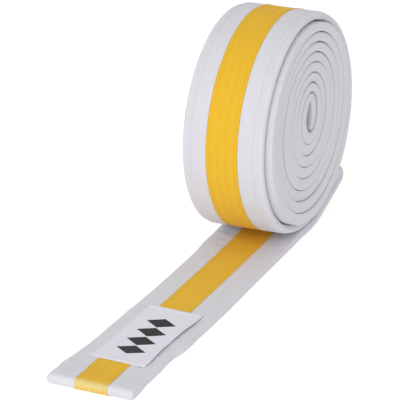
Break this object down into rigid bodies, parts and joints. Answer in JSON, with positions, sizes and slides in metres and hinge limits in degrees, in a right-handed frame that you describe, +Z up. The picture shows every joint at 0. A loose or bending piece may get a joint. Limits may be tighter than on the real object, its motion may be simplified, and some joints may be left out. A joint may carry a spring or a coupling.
{
  "type": "martial arts belt",
  "caption": "Padded cotton martial arts belt with a coloured centre stripe, rolled up on its edge, its labelled end laid out flat and free to lift and curl.",
  "frame": {"origin": "on the floor under the middle of the object's box", "axes": "+X across the belt towards the open side of the roll, -Y the way the free end points, +Z up"},
  "size_m": [0.04, 0.2616, 0.1103],
  "materials": {
    "cover_cotton": "matte cotton drill",
    "stripe_ribbon": "matte woven ribbon",
    "stuffing_felt": "matte needled cotton",
    "sewing_thread": "soft sheen",
    "label_satin": "satin"
  },
  "bodies": {
    "roll": {"cover_fold": "cover_cotton", "cover_wound": "cover_cotton", "stripe_back_fold": "stripe_ribbon", "stripe_back_wound": "stripe_ribbon", "stripe_face_fold": "stripe_ribbon", "stripe_face_wound": "stripe_ribbon", "stuffing_fold": "stuffing_felt", "stuffing_wound": "stuffing_felt"},
    "tail": {"cover_tail": "cover_cotton", "stitch_row_1_tail": "sewing_thread", "stitch_row_2_tail": "sewing_thread", "stitch_row_3_tail": "sewing_thread", "stitch_row_4_tail": "sewing_thread", "stitch_row_5_tail": "sewing_thread", "stitch_row_6_tail": "sewing_thread", "stitch_row_7_tail": "sewing_thread", "stitch_row_8_tail": "sewing_thread", "stripe_back_tail": "stripe_ribbon", "stripe_face_tail": "stripe_ribbon", "stuffing_tail": "stuffing_felt"},
    "end": {"cover_end": "cover_cotton", "label": "label_satin", "label_seam_front": "sewing_thread", "label_seam_rear": "sewing_thread", "stitch_row_1_end": "sewing_thread", "stitch_row_2_end": "sewing_thread", "stitch_row_3_end": "sewing_thread", "stitch_row_4_end": "sewing_thread", "stitch_row_5_end": "sewing_thread", "stitch_row_6_end": "sewing_thread", "stitch_row_7_end": "sewing_thread", "stitch_row_8_end": "sewing_thread", "stripe_end": "stripe_ribbon", "stuffing_end": "stuffing_felt"}
  },
  "joints": [
    {"name": "tail_lift", "type": "hinge", "parent": "roll", "child": "tail", "pos_m": [0, 0.01416, 0.0045], "axis": [-1, 0, 0], "range_deg": [0, 60]},
    {"name": "end_curl", "type": "hinge", "parent": "tail", "child": "end", "pos_m": [0, -0.03184, 0.0045], "axis": [-1, 0, 0], "range_deg": [0, 60]}
  ]
}
